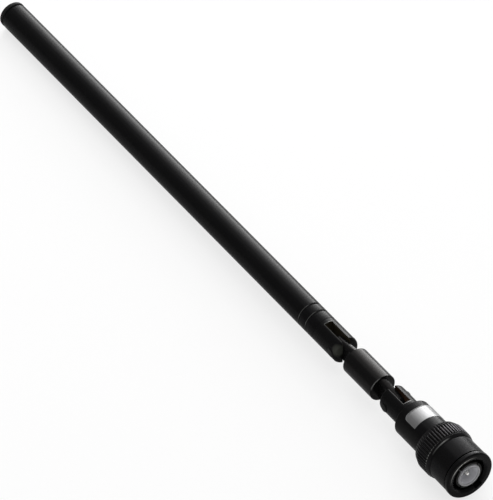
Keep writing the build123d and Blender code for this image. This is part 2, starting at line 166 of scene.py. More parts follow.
def near(tree, centre, reach, soft):
    """1 within reach of a point and 0 beyond it, fading over twice soft, in millimetres."""
    place = add_node(tree, "ShaderNodeTexCoord")
    node = add_node(tree, "ShaderNodeVectorMath", operation="DISTANCE")
    node.inputs[1].default_value = Vector(centre) * MM
    tree.links.new(place.outputs["Object"], node.inputs[0])
    return spread(tree, node.outputs["Value"], 1, 0, (reach - soft) * MM, (reach + soft) * MM)


def spot_on(tree, x, r, angle, reach, soft):
    """The mask of a spot on a turned surface, at an angle from the top towards -Y."""
    angle = radians(angle)
    return near(tree, (x, -r * sin(angle), r * cos(angle)), reach, soft)


def patch(material, factor, colour, metallic, roughness):
    """Show another surface where the factor is 1."""
    tree = material.node_tree
    shader = tree.nodes["Principled BSDF"]
    for name, new in (("Base Color", colour), ("Metallic", metallic), ("Roughness", roughness)):
        socket = shader.inputs[name]
        old = socket.links[0].from_socket if socket.is_linked else socket.default_value
        tree.links.new(mix(tree, factor, old, new), socket)


def resurface(material, colour, spot=None, metallic=1.0, roughness=0.35, **ranges):
    """Show another surface within ranges, everywhere or only in a spot (as in spot_on)."""
    tree = material.node_tree
    mask = within(tree, **ranges)
    if spot:
        mask = both(tree, mask, spot_on(tree, *spot))
    patch(material, mask, colour, metallic, roughness)


def add_bump(tree, shader, height, strength):
    bump = add_node(tree, "ShaderNodeBump", Strength=strength, Distance=BUMP_HEIGHT)
    tree.links.new(height, bump.inputs["Height"])
    tree.links.new(bump.outputs["Normal"], shader.inputs["Normal"])


def finish(name, colours, roughness, grain, metallic=0.0, level=0.5, bump=0.02, tint=(1, 1, 1)):
    """A surface whose colour, gloss and height vary a little with a fine grain.

    colours and roughness are (low, high) pairs, and grain counts its cells in a metre.
    """
    material, tree, shader = new_material(name)
    shader.inputs["Metallic"].default_value = metallic
    shader.inputs["Specular IOR Level"].default_value = level
    shader.inputs["Specular Tint"].default_value = (*tint, 1)
    fine = noise(tree, grain, 4.0)
    broad = noise(tree, grain / 14, 2.0)
    tree.links.new(mix(tree, broad, *colours), shader.inputs["Base Color"])
    tree.links.new(spread(tree, fine, *roughness), shader.inputs["Roughness"])
    add_bump(tree, shader, fine, bump)
    return material


def black_plate(name, roughness=(0.22, 0.29), level=0.03, tint=(1, 1, 1)):
    """Black plating on metal."""
    return finish(name, ((0.0056, 0.0056, 0.0060), (0.0070, 0.0068, 0.0069)), roughness, 2600,
                  level=level, bump=0.015, tint=tint)


def ring_plate(name):
    """The coupling ring's plating, a little bluer than the rest."""
    return black_plate(name, (0.24, 0.31), 0.045, (0.97, 0.955, 1.0))


black_chrome = black_plate("black_chrome")
link_chrome = black_plate("link_chrome", level=0.06, tint=(1.0, 0.94, 0.9))
fork_chrome = black_plate("fork_chrome", (0.24, 0.31), 0.034)
mast_fork_chrome = black_plate("mast_fork_chrome", (0.24, 0.31), 0.034)
housing_black = finish(
    "housing_black", ((0.0055, 0.0055, 0.0058), (0.0072, 0.0070, 0.0070)),
    (0.26, 0.34), 3200, level=0.032, bump=0.03)
seal_rubber = finish(
    "seal_rubber", ((0.012, 0.012, 0.012), (0.02, 0.02, 0.02)), (0.6, 0.75), 4000)
cup_plastic = finish(
    "cup_plastic", ((0.74, 0.74, 0.77), (0.82, 0.82, 0.85)),
    (0.45, 0.55), 3000, level=0.1, bump=0.03)
contact_nickel = finish(
    "contact_nickel", ((0.010, 0.010, 0.010), (0.016, 0.016, 0.015)),
    (0.25, 0.35), 3000, level=0.1)
pin_metal = finish(
    "pin_metal", ((0.80, 0.79, 0.76), (0.74, 0.73, 0.70)), (0.12, 0.2), 3000, metallic=1.0)
spring_metal = finish(
    "spring_metal", ((0.55, 0.55, 0.56), (0.45, 0.45, 0.46)), (0.25, 0.35), 2500, metallic=1.0)
rivet_metal = finish(
    "rivet_metal", ((0.0058, 0.0058, 0.0060), (0.0074, 0.0072, 0.0070)),
    (0.22, 0.3), 2600, level=0.035)
bush_bronze = finish(
    "bush_bronze", ((0.45, 0.26, 0.12), (0.38, 0.21, 0.10)), (0.3, 0.42), 2200, metallic=1.0)


# Meshes

def mesh_from(bm, name):
    """The mesh of an edit mesh, with its faces turned outwards."""
    bmesh.ops.recalc_face_normals(bm, faces=bm.faces)
    mesh = bpy.data.meshes.new(name)
    bm.to_mesh(mesh)
    bm.free()
    return mesh


def link_mesh(name, mesh, material):
    """An object of the scene with this mesh and material."""
    piece = bpy.data.objects.new(name, mesh)
    scene.collection.objects.link(piece)
    mesh.materials.clear()
    mesh.materials.append(material)
    return piece


def rounded(corners, closed=True):
    """A profile from (station, radius, rounding) corners, each rounding drawn as an arc."""
    points = []
    count = len(corners)
    for i, (x, r, rounding) in enumerate(corners):
        here = Vector((x, r))
        if not rounding or (not closed and i in (0, count - 1)):
            points.append((x, r))
            continue
        before = (Vector(corners[i - 1][:2]) - here).normalized()
        after = (Vector(corners[(i + 1) % count][:2]) - here).normalized()
        opening = before.angle(after)
        centre = here + (before + after).normalized() * rounding / sin(opening / 2)
        reach = rounding / tan(opening / 2)
        first = here + before * reach - centre
        last = here + after * reach - centre
        turn = first.angle_signed(last)
        steps = max(2, ceil(abs(turn) / ARC_STEP))
        for k in range(steps + 1):
            angle = -turn * k / steps
            spun = Vector((
                first.x * cos(angle) - first.y * sin(angle),
                first.x * sin(angle) + first.y * cos(angle),
            ))
            points.append(tuple(centre + spun))
    return points


def turned_mesh(name, profile, around=AROUND, closed=True, shape=None):
    """Revolve a profile about X. shape(x, r, angle) may change a point's radius."""
    bm = bmesh.new()
    rings = []
    for x, r in profile:
        if r < 1e-6:
            rings.append([bm.verts.new((x * MM, 0, 0))])
            continue
        ring = []
        for k in range(around):
            angle = 2 * pi * k / around
            rr = (shape(x, r, angle) if shape else r) * MM
            ring.append(bm.verts.new((x * MM, -rr * sin(angle), rr * cos(angle))))
        rings.append(ring)
    pairs = list(zip(rings, rings[1:] + rings[:1])) if closed else list(zip(rings, rings[1:]))
    for a, b in pairs:
        if len(a) == 1 and len(b) == 1:
            continue
        for k in range(around):
            n = (k + 1) % around
            if len(a) == 1:
                bm.faces.new((a[0], b[k], b[n]))
            elif len(b) == 1:
                bm.faces.new((a[k], b[0], a[n]))
            else:
                bm.faces.new((a[k], b[k], b[n], a[n]))
    mesh = mesh_from(bm, name)
    mesh.shade_smooth()
    return mesh


def stack_mesh(name, layers):
    """Join outlines of equally many points, in metres, into a closed solid."""
    bm = bmesh.new()
    rings = [[bm.verts.new(point) for point in layer] for layer in layers]
    bm.faces.new(rings[0])
    bm.faces.new(rings[-1])
    for low, high in zip(rings, rings[1:]):
        for k in range(len(low)):
            n = (k + 1) % len(low)
            bm.faces.new((low[k], low[n], high[n], high[k]))
    return mesh_from(bm, name)


def block_mesh(name, low, high):
    """A box between two corners, in millimetres."""
    bm = bmesh.new()
    bmesh.ops.create_cube(bm, size=1)
    for v in bm.verts:
        v.co = Vector([
            MM * (low[i] + high[i]) / 2 + v.co[i] * MM * (high[i] - low[i]) for i in range(3)
        ])
    return mesh_from(bm, name)


def pin_mesh(name, x, r, low, high):
    """A cylinder along Y at a station, from y = low to y = high, in millimetres."""
    around = 64
    angles = [2 * pi * k / around for k in range(around)]
    return stack_mesh(name, [
        [Vector((x + r * cos(a), y, r * sin(a))) * MM for a in angles] for y in (low, high)])


def turn_about_x(mesh, angle):
    mesh.transform(Matrix.Rotation(angle, 4, "X"))
    return mesh


def apply_modifiers(piece):
    """Put the modifiers' result in the piece's own mesh."""
    evaluated = piece.evaluated_get(bpy.context.evaluated_depsgraph_get())
    mesh = bpy.data.meshes.new_from_object(evaluated)
    mesh.name = piece.name
    piece.modifiers.clear()
    piece.data = mesh


def combine(piece, tools, operation="DIFFERENCE"):
    """Cut tool meshes from a piece, or join them to it."""
    for mesh in tools:
        tool = bpy.data.objects.new("tool", mesh)
        scene.collection.objects.link(tool)
        cut = piece.modifiers.new("cut", "BOOLEAN")
        cut.operation = operation
        cut.solver = "EXACT"
        cut.object = tool
        bpy.context.view_layer.update()
        apply_modifiers(piece)
        bpy.data.objects.remove(tool)


def soften(piece, width, segments=3, limit=40):
    """Round the sharp edges, keeping flat faces flat."""
    bevel = piece.modifiers.new("edges", "BEVEL")
    bevel.width = width * MM
    bevel.segments = segments
    bevel.limit_method = "ANGLE"
    bevel.angle_limit = radians(limit)
    bevel.use_clamp_overlap = True
    bevel.harden_normals = True
    bpy.context.view_layer.update()
    apply_modifiers(piece)
    piece.data.shade_smooth()
    level_normals(piece)


def level_normals(piece):
    """Shade flat faces flat beside rounded edges."""
    weighted = piece.modifiers.new("normals", "WEIGHTED_NORMAL")
    weighted.keep_sharp = True


def place(piece, body, slot, *nodes):
    """Let a piece stand for CAD nodes on a body."""
    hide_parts(*nodes)
    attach(piece, body)


def turned(name, corners, material, body, slot, closed=True, around=AROUND):
    """Make a turned piece that stands for the node it is named after."""
    profile = rounded(corners, closed)
    piece = link_mesh(name + "_piece", turned_mesh(name, profile, around, closed), material)
    level_normals(piece)
    place(piece, body, slot, name)


# Coupling ring
shell_front, shell_rear = station("coupling_shell", 1), station("coupling_shell", 0)
sleeve_r = 5.95
shell_r = 7.0
collar_r = 7.4
box_margin = 0.001  # keeps the knurl's crests within the CAD box
knurl_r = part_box("coupling_shell")[1].y / MM - box_margin
shell_length, collar_slope_length, collar_length, knurl_length = 6.45, 0.95, 1.3, 3.8
x_collar = shell_front - shell_length
x_slope_end = x_collar - collar_slope_length
collar_step = 0.1
x_knurl = x_collar - collar_length
x_taper = x_knurl - knurl_length
free_gap, skirt_wall = 0.25, 1.05
skirt_bore_r = radius("housing") + free_gap
rear_rim_r = skirt_bore_r + skirt_wall
skirt_depth, web_thickness = 2.35, 1.5
x_web_rear = shell_rear + skirt_depth
x_web = x_web_rear + web_thickness
web_bore_r = 4.25
knurl_count = 54
groove_depth = 0.34
groove_half_width = 0.28
groove_flat = 0.03  # height of the flat at its bottom
groove_run_out = 1.0
groove_samples = 12  # points round each tooth
knurl_chamfer = 0.12
# colour of the knurl's crests: worn plating, painted lighter on the upper side as a highlight
knurl_crest = (0.014, 0.0136, 0.0134)


def knurl(x, r, angle):
    """Grooves of straight V section that fade out on the rear taper."""
    margin = 0.1
    on_knurl = x_taper - groove_run_out - margin < x < x_knurl + 1e-6
    if not on_knurl or r < knurl_r - groove_depth - margin:
        return r
    pitch = 2 * pi * knurl_r / knurl_count
    offset = abs((angle * knurl_count / (2 * pi) + 0.5) % 1 - 0.5) * pitch
    floor_r = knurl_r - groove_depth + groove_depth * offset / groove_half_width
    return min(r, max(floor_r, knurl_r - groove_depth + groove_flat))


def make_shell():
    """The coupling ring's shell: smooth sleeve, collar, knurl, taper and skirt."""
    outer = rounded([
        (x_knurl, knurl_r - knurl_chamfer, 0),
        (x_knurl - knurl_chamfer, knurl_r, 0.06),
        (x_taper, knurl_r, 0.8),
        (shell_rear, rear_rim_r, 0.2),
        (shell_rear, skirt_bore_r, 0.08),
    ], closed=False)
    # More rings along the knurl's run-out
    dense = []
    ring_step = 0.06
    for a, b in zip(outer, outer[1:]):
        steps = 1
        if x_taper - groove_run_out - 0.3 < b[0] < x_taper and a[0] - b[0] > 0.1:
            steps = ceil((a[0] - b[0]) / ring_step)
        dense += [(a[0] + (b[0] - a[0]) * k / steps, a[1] + (b[1] - a[1]) * k / steps)
                  for k in range(steps)]
    dense.append(outer[-1])
    front = rounded([
        (x_web, web_bore_r, 0),
        (x_web, sleeve_r, 0),
        (shell_front, sleeve_r, 0),
        (shell_front, shell_r + 0.05, 0.08),
        (x_collar, shell_r, 0.03),
        (x_collar, shell_r + collar_step, 0.05),
        (x_slope_end, collar_r, 1.0),
        (x_knurl, collar_r, 0),
    ], closed=False)
    rear = [(x_web_rear, skirt_bore_r), (x_web_rear, web_bore_r)]
    mesh = turned_mesh("shell", front + dense + rear, knurl_count * groove_samples, True, knurl)
    # Lighter bare metal on the front ends of the knurl all round, worn plating that also paints
    # their glints, with brighter painted glints on one side;
    # a painted highlight line on the collar's edge; and crests lighter on the knurl's upper side,
    # worn plating with a painted highlight
    material = ring_plate("shell_chrome")
    tooth_fronts = {"x": (x_knurl - knurl_chamfer, x_knurl + 0.1), "r": (knurl_r - 0.14, FAR)}
    resurface(material, (0.07, 0.07, 0.068), **tooth_fronts)
    resurface(material, (0.17, 0.17, 0.165), (x_knurl, knurl_r, 58, 3.4, 1.6), **tooth_fronts)
    resurface(material, (0.16, 0.16, 0.155), (x_collar, shell_r, 30, 1.9, 1.6),
              x=(x_collar - 0.6, x_collar - 0.28), r=(shell_r + 0.04, FAR))
    middle = (x_taper + x_knurl) / 2
    resurface(material, knurl_crest, (middle, knurl_r, 0, 8.0, 2.4), roughness=0.3,
              x=(x_taper + 0.2, x_knurl), r=(knurl_r - 0.06, FAR))
    # The walls behind the bayonet ways are bare
    resurface(material, (0.45, 0.44, 0.42), roughness=0.5, r=(0, sleeve_r + 0.05))
    piece = link_mesh("coupling_shell_piece", mesh, material)
    level_normals(piece)
    place(piece, "coupling_ring", "black_chrome", "coupling_shell")


make_shell()

lip_r = radius("bayonet_sleeve")
shoulder_length = 0.35
x_shoulder = shell_front + shoulder_length
shoulder_r = 6.65
mouth_r = 5.45
mouth_rounding = 0.55
jack_r = 4.9
mouth_depth = 0.6
way_angles = (30, 210)  # from the top towards -Y, in degrees
way_turn = 72  # degrees that it climbs through
way_rise = 2.0
way_width = 2.2
way_entry = 3.4  # depth of its straight part
way_cut_r = (4.4, 6.45)  # from inside the sleeve's bore to within the shell's wall


def climb_mesh():
    """The way's climb: a bar that follows a helix under the shell."""
    steps = 36
    inner, outer = way_cut_r
    lean = atan2(way_rise, radians(way_turn) * (jack_r + sleeve_r) / 2)
    layers = []
    for k in range(steps + 1):
        t = k / steps
        angle = radians(-way_turn * t)
        x = -way_entry - way_rise * t
        layer = []
        for side, r in ((-1, inner), (1, inner), (1, outer), (-1, outer)):
            along = side * way_width / 2
            a = angle + along * sin(lean) / r
            layer.append(Vector((x + along * cos(lean), -r * sin(a), r * cos(a))) * MM)
        layers.append(layer)
    return stack_mesh("climb", layers)


# Painted highlight: lighter metal on one side of the mouth's edge, where it catches light
sleeve_chrome = ring_plate("sleeve_chrome")
edge_r = mouth_r + mouth_rounding
resurface(sleeve_chrome, (0.36, 0.36, 0.34), (0, edge_r, 36, 3.4, 2.4), roughness=0.3,
          x=(-0.15, 1), r=(edge_r - 0.07, edge_r + 0.18))


def make_bayonet_sleeve():
    """The coupling ring's inner sleeve, with its lip and the two bayonet ways."""
    profile = rounded([
        (0, mouth_r, mouth_rounding),
        (0, lip_r, 0.45),
        (x_shoulder, lip_r, 0.15),
        (x_shoulder, shoulder_r, 0.04),
        (shell_front, shoulder_r, 0.04),
        (shell_front, sleeve_r, 0),
        (x_web, sleeve_r, 0),
        (x_web, jack_r, 0),
        (-mouth_depth, jack_r, 0.05),
    ])
    piece = link_mesh("bayonet_sleeve_piece", turned_mesh("sleeve", profile), sleeve_chrome)
    for angle in way_angles:
        half = way_width / 2
        entry = block_mesh(
            "entry", (-way_entry, -half, way_cut_r[0]), (PAST_END, half, sleeve_r))
        combine(piece, [turn_about_x(entry, radians(angle))])
        combine(piece, [turn_about_x(climb_mesh(), radians(angle))])
    soften(piece, 0.05, 2, 50)
    place(piece, "coupling_ring", "black_chrome", "bayonet_sleeve")


make_bayonet_sleeve()

# Plug interior
cup_front, cup_rear_end = station("insulator", 1), station("insulator", 0)
cup_r = radius("insulator")
cup_wall, cup_depth = 0.65, 6.2
cup_bore_r = cup_r - cup_wall
cup_floor = cup_front - cup_depth
x_cup_shoulder = -12.65
cup_neck_r = 2.0
pin_shank_r, pin_r, pin_point_r = 0.9, 0.675, 0.35
pin_point_length = 0.45
turned("insulator", [
    (cup_front, cup_bore_r, 0.18),
    (cup_front, cup_r, 0.2),
    (x_cup_shoulder, cup_r, 0),
    (x_cup_shoulder, cup_neck_r, 0),
    (cup_rear_end, cup_neck_r, 0),
    (cup_rear_end, pin_shank_r, 0),
    (cup_floor, pin_shank_r, 0.1),
    (cup_floor, cup_bore_r, 0.5),
], cup_plastic, "connector", "insulator")
# Painted shade: the rim is greyer than the inside, so that the lit rim looks like the shaded
# inside
resurface(cup_plastic, (0.4, 0.4, 0.412), metallic=0.0, roughness=0.6, x=(cup_front - 0.25, 1))

pin_front, pin_rear = station("centre_pin", 1), station("centre_pin", 0)
turned("centre_pin", [
    (pin_front, 0, 0),
    (pin_front, pin_point_r, 0.15),
    (pin_front - pin_point_length, pin_r, 0.3),
    (cup_floor, pin_r, 0),
    (cup_floor, pin_shank_r, 0.05),
    (pin_rear, pin_shank_r, 0.1),
    (pin_rear, 0, 0),
], pin_metal, "connector", "contact_metal", closed=False, around=64)


def make_outer_contact():
    """The contact sleeve, slit crosswise into four springs."""
    front, rear = station("outer_contact", 1), station("outer_contact", 0)
    r = radius("outer_contact")
    wall, seat_step, x_step = 0.6, 0.2, -6.5
    slit_length, slit_half = 5.5, 0.25
    profile = rounded([
        (front, r - wall, 0.04),
        (front, r, 0.12),
        (x_step, r, 0),
        (x_step, r - seat_step, 0),
        (rear, r - seat_step, 0),
        (rear, r - wall, 0),
    ])
    piece = link_mesh("outer_contact_piece", turned_mesh("contact", profile), contact_nickel)
    for angle in (45, 135):
        slit = block_mesh(
            "slit", (front - slit_length, -slit_half, -FAR), (PAST_END, slit_half, FAR))
        combine(piece, [turn_about_x(slit, radians(angle))])
    soften(piece, 0.03, 2, 50)
    place(piece, "connector", "contact_metal", "outer_contact")


make_outer_contact()


def make_spring_washer():
    """A washer bowed as it is at rest; drawing the ring forward flattens the real one."""
    rear, front = station("spring_washer", 0), station("spring_washer", 1)
    outer_r, bore_r = radius("spring_washer"), 4.3
    sheet, edge = 0.3, 0.06
    rise = front - rear - sheet
    bow_r = (outer_r ** 2 + rise ** 2) / (2 * rise)
    mesh = turned_mesh("spring", rounded([
        (rear + sheet, bore_r, edge),
        (rear + sheet, outer_r, edge),
        (rear, outer_r, edge),
        (rear, bore_r, edge),
    ]), 96)
    for vertex in mesh.vertices:
        y = vertex.co.y / MM
        vertex.co.x += (bow_r - sqrt(bow_r ** 2 - y ** 2)) * MM
    piece = link_mesh("spring_washer_piece", mesh, spring_metal)
    place(piece, "connector", "spring_steel", "spring_washer")
    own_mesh(piece)


make_spring_washer()

# Housing and label
housing_front, housing_top = station("housing", 1), station("housing", 0)
housing_r = radius("housing")
spigot_r, shank_r = 4.0, 3.0  # what it holds: the plug body's spigot and the fork's shank
x_housing_step = -18.8
turned("housing", [
    (housing_front, spigot_r, 0),
    (housing_front, housing_r, 0.1),
    (housing_top, housing_r, 0.25),
    (housing_top, shank_r, 0.08),
    (x_housing_step, shank_r, 0),
    (x_housing_step, spigot_r, 0),
], housing_black, "connector", "housing_plastic")

label_front, label_top = station("label", 1), station("label", 0)
label_sheet, label_sink = 0.1, 0.005
label_start, label_end = -152, 48
label_corner = 1.2
silver_share = 0.56  # of the label's length


def label_material():
    """Brushed silver foil with a printed black band towards the plug."""
    material, tree, shader = new_material("label_foil")
    brushed = noise(tree, 900, 3.0, (0.12, 3, 3))
    fine = noise(tree, 5200, 3.0, (0.15, 2, 2))
    silver = mix(tree, brushed, (0.19, 0.19, 0.193), (0.25, 0.25, 0.25))
    tree.links.new(silver, shader.inputs["Base Color"])
    tree.links.new(spread(tree, fine, 0.37, 0.45), shader.inputs["Roughness"])
    shader.inputs["Metallic"].default_value = 0.65
    shader.inputs["Specular IOR Level"].default_value = 0.04
    edge = label_top + silver_share * (label_front - label_top)
    resurface(material, (0.006, 0.006, 0.0065), metallic=0.0, roughness=0.26,
              x=(edge, label_front + 1))
    add_bump(tree, shader, fine, 0.04)
    return material


def make_label():
    """A curved sheet with four rounded corners."""
    inner, outer = housing_r - label_sink, housing_r + label_sheet
    sweep = radians(label_end - label_start)
    width = sweep * outer
    length = label_front - label_top
    columns, corner_columns, along = 120, 10, 16
    bm = bmesh.new()
    rows = {}

    def limits(w):
        """The label's two ends along X at a place round it."""
        gap = min(w, width - w)
        if gap >= label_corner:
            return 0.0, length
        inset = label_corner - sqrt(max(0.0, label_corner ** 2 - (label_corner - gap) ** 2))
        return inset, length - inset

    steps = [label_corner * (1 - cos(pi / 2 * k / corner_columns)) for k in range(corner_columns)]
    middle = [label_corner + (width - 2 * label_corner) * k / columns for k in range(columns + 1)]
    places = steps + middle + [width - s for s in reversed(steps)]
    for level, r in enumerate((inner, outer)):
        for i, w in enumerate(places):
            low, high = limits(w)
            a = radians(label_start) + w / outer
            for j in range(along + 1):
                x = label_top + low + (high - low) * j / along
                rows[level, i, j] = bm.verts.new(
                    (x * MM, -r * MM * sin(a), r * MM * cos(a)))
    last = len(places) - 1
    for level in (0, 1):
        for i in range(last):
            for j in range(along):
                corners = [rows[level, p, q] for p, q in
                           ((i, j), (i + 1, j), (i + 1, j + 1), (i, j + 1))]
                bm.faces.new(corners)
    edge = [(i, 0) for i in range(last + 1)]
    edge += [(last, j) for j in range(1, along + 1)]
    edge += [(i, along) for i in range(last - 1, -1, -1)]
    edge += [(0, j) for j in range(along - 1, 0, -1)]
    for a, b in zip(edge, edge[1:] + edge[:1]):
        bm.faces.new((rows[(0, *a)], rows[(0, *b)], rows[(1, *b)], rows[(1, *a)]))
    mesh = mesh_from(bm, "label")
    mesh.shade_smooth()
    piece = link_mesh("label_piece", mesh, label_material())
    level_normals(piece)
    place(piece, "connector", "label_foil", "label")


make_label()

# Joints
rod_r = radius("tube_1")
slot_half = 1.2
tongue_half = 1.15
rivet_r = 0.8
rivet_play = 0.05
rivet_head_r = 1.5
rivet_seat_depth = 0.72
rivet_seat = rod_r - rivet_seat_depth
fork_edge = 0.9


def fork_walls_and_highlights(material, brown, edge, slot_end, way):
    """Brown slot walls, and painted highlight lines along the slot's edge on the -Y side and
    across its end.

    edge is the colour of these highlight lines; way is the sign of X from the slot's end towards
    its mouth.
    """
    resurface(material, brown, metallic=0.0, w=(0, slot_half + 0.04), r=(0, rod_r - 0.15))
    # Painted highlights: a light line along the -Y edge of the slot and across the slot's end
    length = sorted((slot_end - way * 0.12, slot_end + way * 20))
    resurface(material, edge,
              x=length, y=(-slot_half - 0.14, -slot_half + 0.1), r=(rod_r - 0.55, FAR))
    end = sorted((slot_end - way * 0.16, slot_end + way * 0.05))
    resurface(material, edge, x=end, w=(0, slot_half + 0.1), r=(rod_r - 0.3, FAR))


def pin_station(rivet):
    """The station of a rivet's axis, in millimetres."""
    low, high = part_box(rivet)
    return (low.x + high.x) / 2 / MM


def make_fork(name, corners, slot_end, slot_open, x_pin, material, body):
    """A turned body with a slot along Z, a cross hole and two seats for the rivet's heads."""
    profile = rounded(corners, closed=False)
    piece = link_mesh(name + "_piece", turned_mesh(name, profile, closed=False), material)
    low, high = sorted((slot_end, slot_open))
    tools = [block_mesh("slot", (low, -slot_half, -FAR), (high, slot_half, FAR))]
    tools.append(pin_mesh("hole", x_pin, rivet_r, -FAR, FAR))
    for side in (-1, 1):
        ends = sorted((side * rivet_seat, side * FAR))
        tools.append(pin_mesh("seat", x_pin, rivet_head_r, *ends))
    combine(piece, tools)
    soften(piece, 0.07)
    place(piece, body, "black_chrome", name)


lower_end, lower_top = station("lower_fork", 0), station("lower_fork", 1)
lower_slot_depth, upper_slot_depth = 7.5, 8.7
lower_slot_end = lower_end + lower_slot_depth
fork_walls_and_highlights(fork_chrome, (0.034, 0.018, 0.011), (0.08, 0.08, 0.079), lower_slot_end, -1)
make_fork("lower_fork", [
    (lower_top, 0, 0),
    (lower_top, shank_r, 0),
    (housing_top, shank_r, 0),
    (housing_top, rod_r, 0.06),
    (lower_end, rod_r, fork_edge),
    (lower_end, 0, 0),
], lower_slot_end, lower_end - PAST_END, pin_station("lower_rivet"), fork_chrome, "connector")

ferrule_front, spigot_top = station("mast_fork", 1), station("mast_fork", 0)
upper_slot_end = ferrule_front - upper_slot_depth
fork_walls_and_highlights(mast_fork_chrome, (0.05, 0.042, 0.027), (0.05, 0.05, 0.048), upper_slot_end, 1)
# Painted highlight: a lighter spot on the rounded end of one cheek
spot = near(mast_fork_chrome.node_tree, (ferrule_front - 0.35, -2.15, 1.3), 1.7, 0.4)
patch(mast_fork_chrome, spot, (0.062, 0.064, 0.055), 0.0, 0.5)
tube_foot = station("tube_1", 1)
crimp_width, crimp_depth = 0.7, 0.22
first_crimp, crimp_pitch = 3.7, 3.3  # from the tube's foot, and between the two
crimps = [tube_foot - first_crimp, tube_foot - first_crimp - crimp_pitch]
wall = 0.25  # of every tube
bore_r = rod_r - wall


def crimped(x_list, r, backwards=False):
    """Profile corners of rolled grooves in a wall of radius r."""
    points = []
    for x in x_list:
        points += [(x + crimp_width / 2, r, 0.15), (x, r - crimp_depth, 0.1),
                   (x - crimp_width / 2, r, 0.15)]
    return points[::-1] if backwards else points


make_fork("mast_fork", [
    (ferrule_front, 0, 0),
    (ferrule_front, rod_r, fork_edge),
    (tube_foot, rod_r, 0.06),
    (tube_foot, bore_r, 0),
    *crimped(crimps, bore_r),
    (spigot_top, bore_r, 0.1),
    (spigot_top, 0, 0),
], upper_slot_end, ferrule_front + PAST_END, pin_station("upper_rivet"), mast_fork_chrome, "mast")


def tongue_outline(x_pin, x_face, x_root, end_r, base_half):
    """Points (x, z) of a tongue: a round end about the pin and straight sides that meet it
    where they touch it, in millimetres."""
    way = 1 if x_pin > x_face else -1
    reach = hypot(x_pin - x_face, base_half)
    tilt = atan2(base_half, abs(x_pin - x_face)) - pi / 2 + asin(end_r / reach)
    start = -pi / 2 - tilt
    steps = 40
    points = [(x_root, -base_half), (x_face, -base_half)]
    for k in range(steps + 1):
        a = start - 2 * start * k / steps
        points.append((x_pin + way * end_r * cos(a), end_r * sin(a)))
    return points + [(x_face, base_half), (x_root, base_half)]


def tongue_mesh(x_pin, x_face, x_root):
    """A tongue with a crowned narrow face."""
    end_r, base_half = 3.1, 3.5
    crown_r, rounding = 1.7, 0.3
    turn = asin((tongue_half - rounding) / (crown_r - rounding))
    half = [(crown_r * sin(turn * k / 5), crown_r * (1 - cos(turn * k / 5))) for k in range(6)]
    y_turn, drop = half[-1]
    for k in range(1, 6):
        a = turn + (pi / 2 - turn) * k / 5
        half.append((y_turn + rounding * (sin(a) - sin(turn)),
                     drop + rounding * (cos(turn) - cos(a))))
    section = [(-y, drop) for y, drop in reversed(half[1:])] + half
    return stack_mesh("tongue", [
        [Vector((x, y, z)) * MM
         for x, z in tongue_outline(x_pin, x_face, x_root, end_r - drop, base_half - drop)]
        for y, drop in section])


def make_link():
    """The barrel between the hinges, with a tongue at each end."""
    x_lower, x_upper = pin_station("lower_rivet"), pin_station("upper_rivet")
    pin_to_front, pin_to_rear = 6.3, 6.1
    barrel_front, barrel_rear = x_lower - pin_to_front, x_upper + pin_to_rear
    edge = 0.2
    profile = rounded([
        (barrel_front, 0, 0),
        (barrel_front, rod_r, edge),
        (barrel_rear, rod_r, edge),
        (barrel_rear, 0, 0),
    ], closed=False)
    # Painted highlight: lighter metal on one side of the barrel's front edge
    resurface(link_chrome, (0.24, 0.24, 0.235), (barrel_front, rod_r, 42, 1.4, 1.0),
              x=(barrel_front - edge, barrel_front + 0.1), r=(rod_r - 0.25, FAR))
    piece = link_mesh("link_piece", turned_mesh("link", profile, closed=False), link_chrome)
    middle = (barrel_front + barrel_rear) / 2
    for x_pin, x_face in ((x_lower, barrel_front), (x_upper, barrel_rear)):
        combine(piece, [tongue_mesh(x_pin, x_face, middle)], "UNION")
        combine(piece, [pin_mesh("hole", x_pin, rivet_r + rivet_play, -FAR, FAR)])
    soften(piece, 0.08)
    place(piece, "link", "black_chrome", "link")


make_link()


def make_rivet(name, body):
    """A pin along Y with two domed heads."""
    x = pin_station(name)
    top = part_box(name)[1].y / MM
    half = rounded([
        (0, rivet_r, 0),
        (rivet_seat, rivet_r, 0),
        (rivet_seat, rivet_head_r, 0.05),
        (top, rivet_head_r, 0.5),
        (top, 0, 0),
    ], closed=False)
    profile = [(-a, r) for a, r in reversed(half)] + half[1:]
    mesh = turned_mesh(name, profile, 96, False)
    # From the X axis to the rivet's own axis
    mesh.transform(Matrix.Rotation(pi / 2, 4, "Z"))
    mesh.transform(Matrix.Translation((x * MM, 0, 0)))
    piece = link_mesh(name + "_piece", mesh, rivet_metal)
    level_normals(piece)
    place(piece, body, "rivet_steel", name)


make_rivet("lower_rivet", "connector")
make_rivet("upper_rivet", "mast")

# Mast
tube_count = 6
tip_rod_r = radius("tip_rod")
play = 0.05  # round the next section in a tube's mouth
neck_length, neck_cone = 1.2, 0.5
for i in range(1, tube_count + 1):
    name = f"tube_{i}"
    r = radius(name)
    foot, mouth = station(name, 1), station(name, 0)
    next_r = radius(f"tube_{i + 1}") if i < tube_count else tip_rod_r
    grooves = crimps if i == 1 else []
    material = black_plate(f"tube_chrome_{i}")
    for x in grooves:
        # Lighter bare metal on the far walls of the crimps, worn plating that also paints their
        # highlight, with a brighter painted highlight on one side
        far_wall = {"x": (x - 0.34, x - 0.18), "r": (0, FAR)}
        resurface(material, (0.04, 0.04, 0.039), **far_wall)
        resurface(material, (0.12, 0.12, 0.117), (x, rod_r, 45, 1.6, 1.2), **far_wall)
    turned(name, [
        (foot, r - wall, 0.03),
        (foot, r, 0.1),
        *crimped(grooves, r),
        (mouth, r, 0.12),
        (mouth, next_r + play, 0.04),
        (mouth + neck_length, next_r + play, 0),
        (mouth + neck_length + neck_cone, r - wall, 0),
        *crimped(grooves, r - wall, True),
    ], material, "mast" if i == 1 else f"section_{i}", "black_chrome")

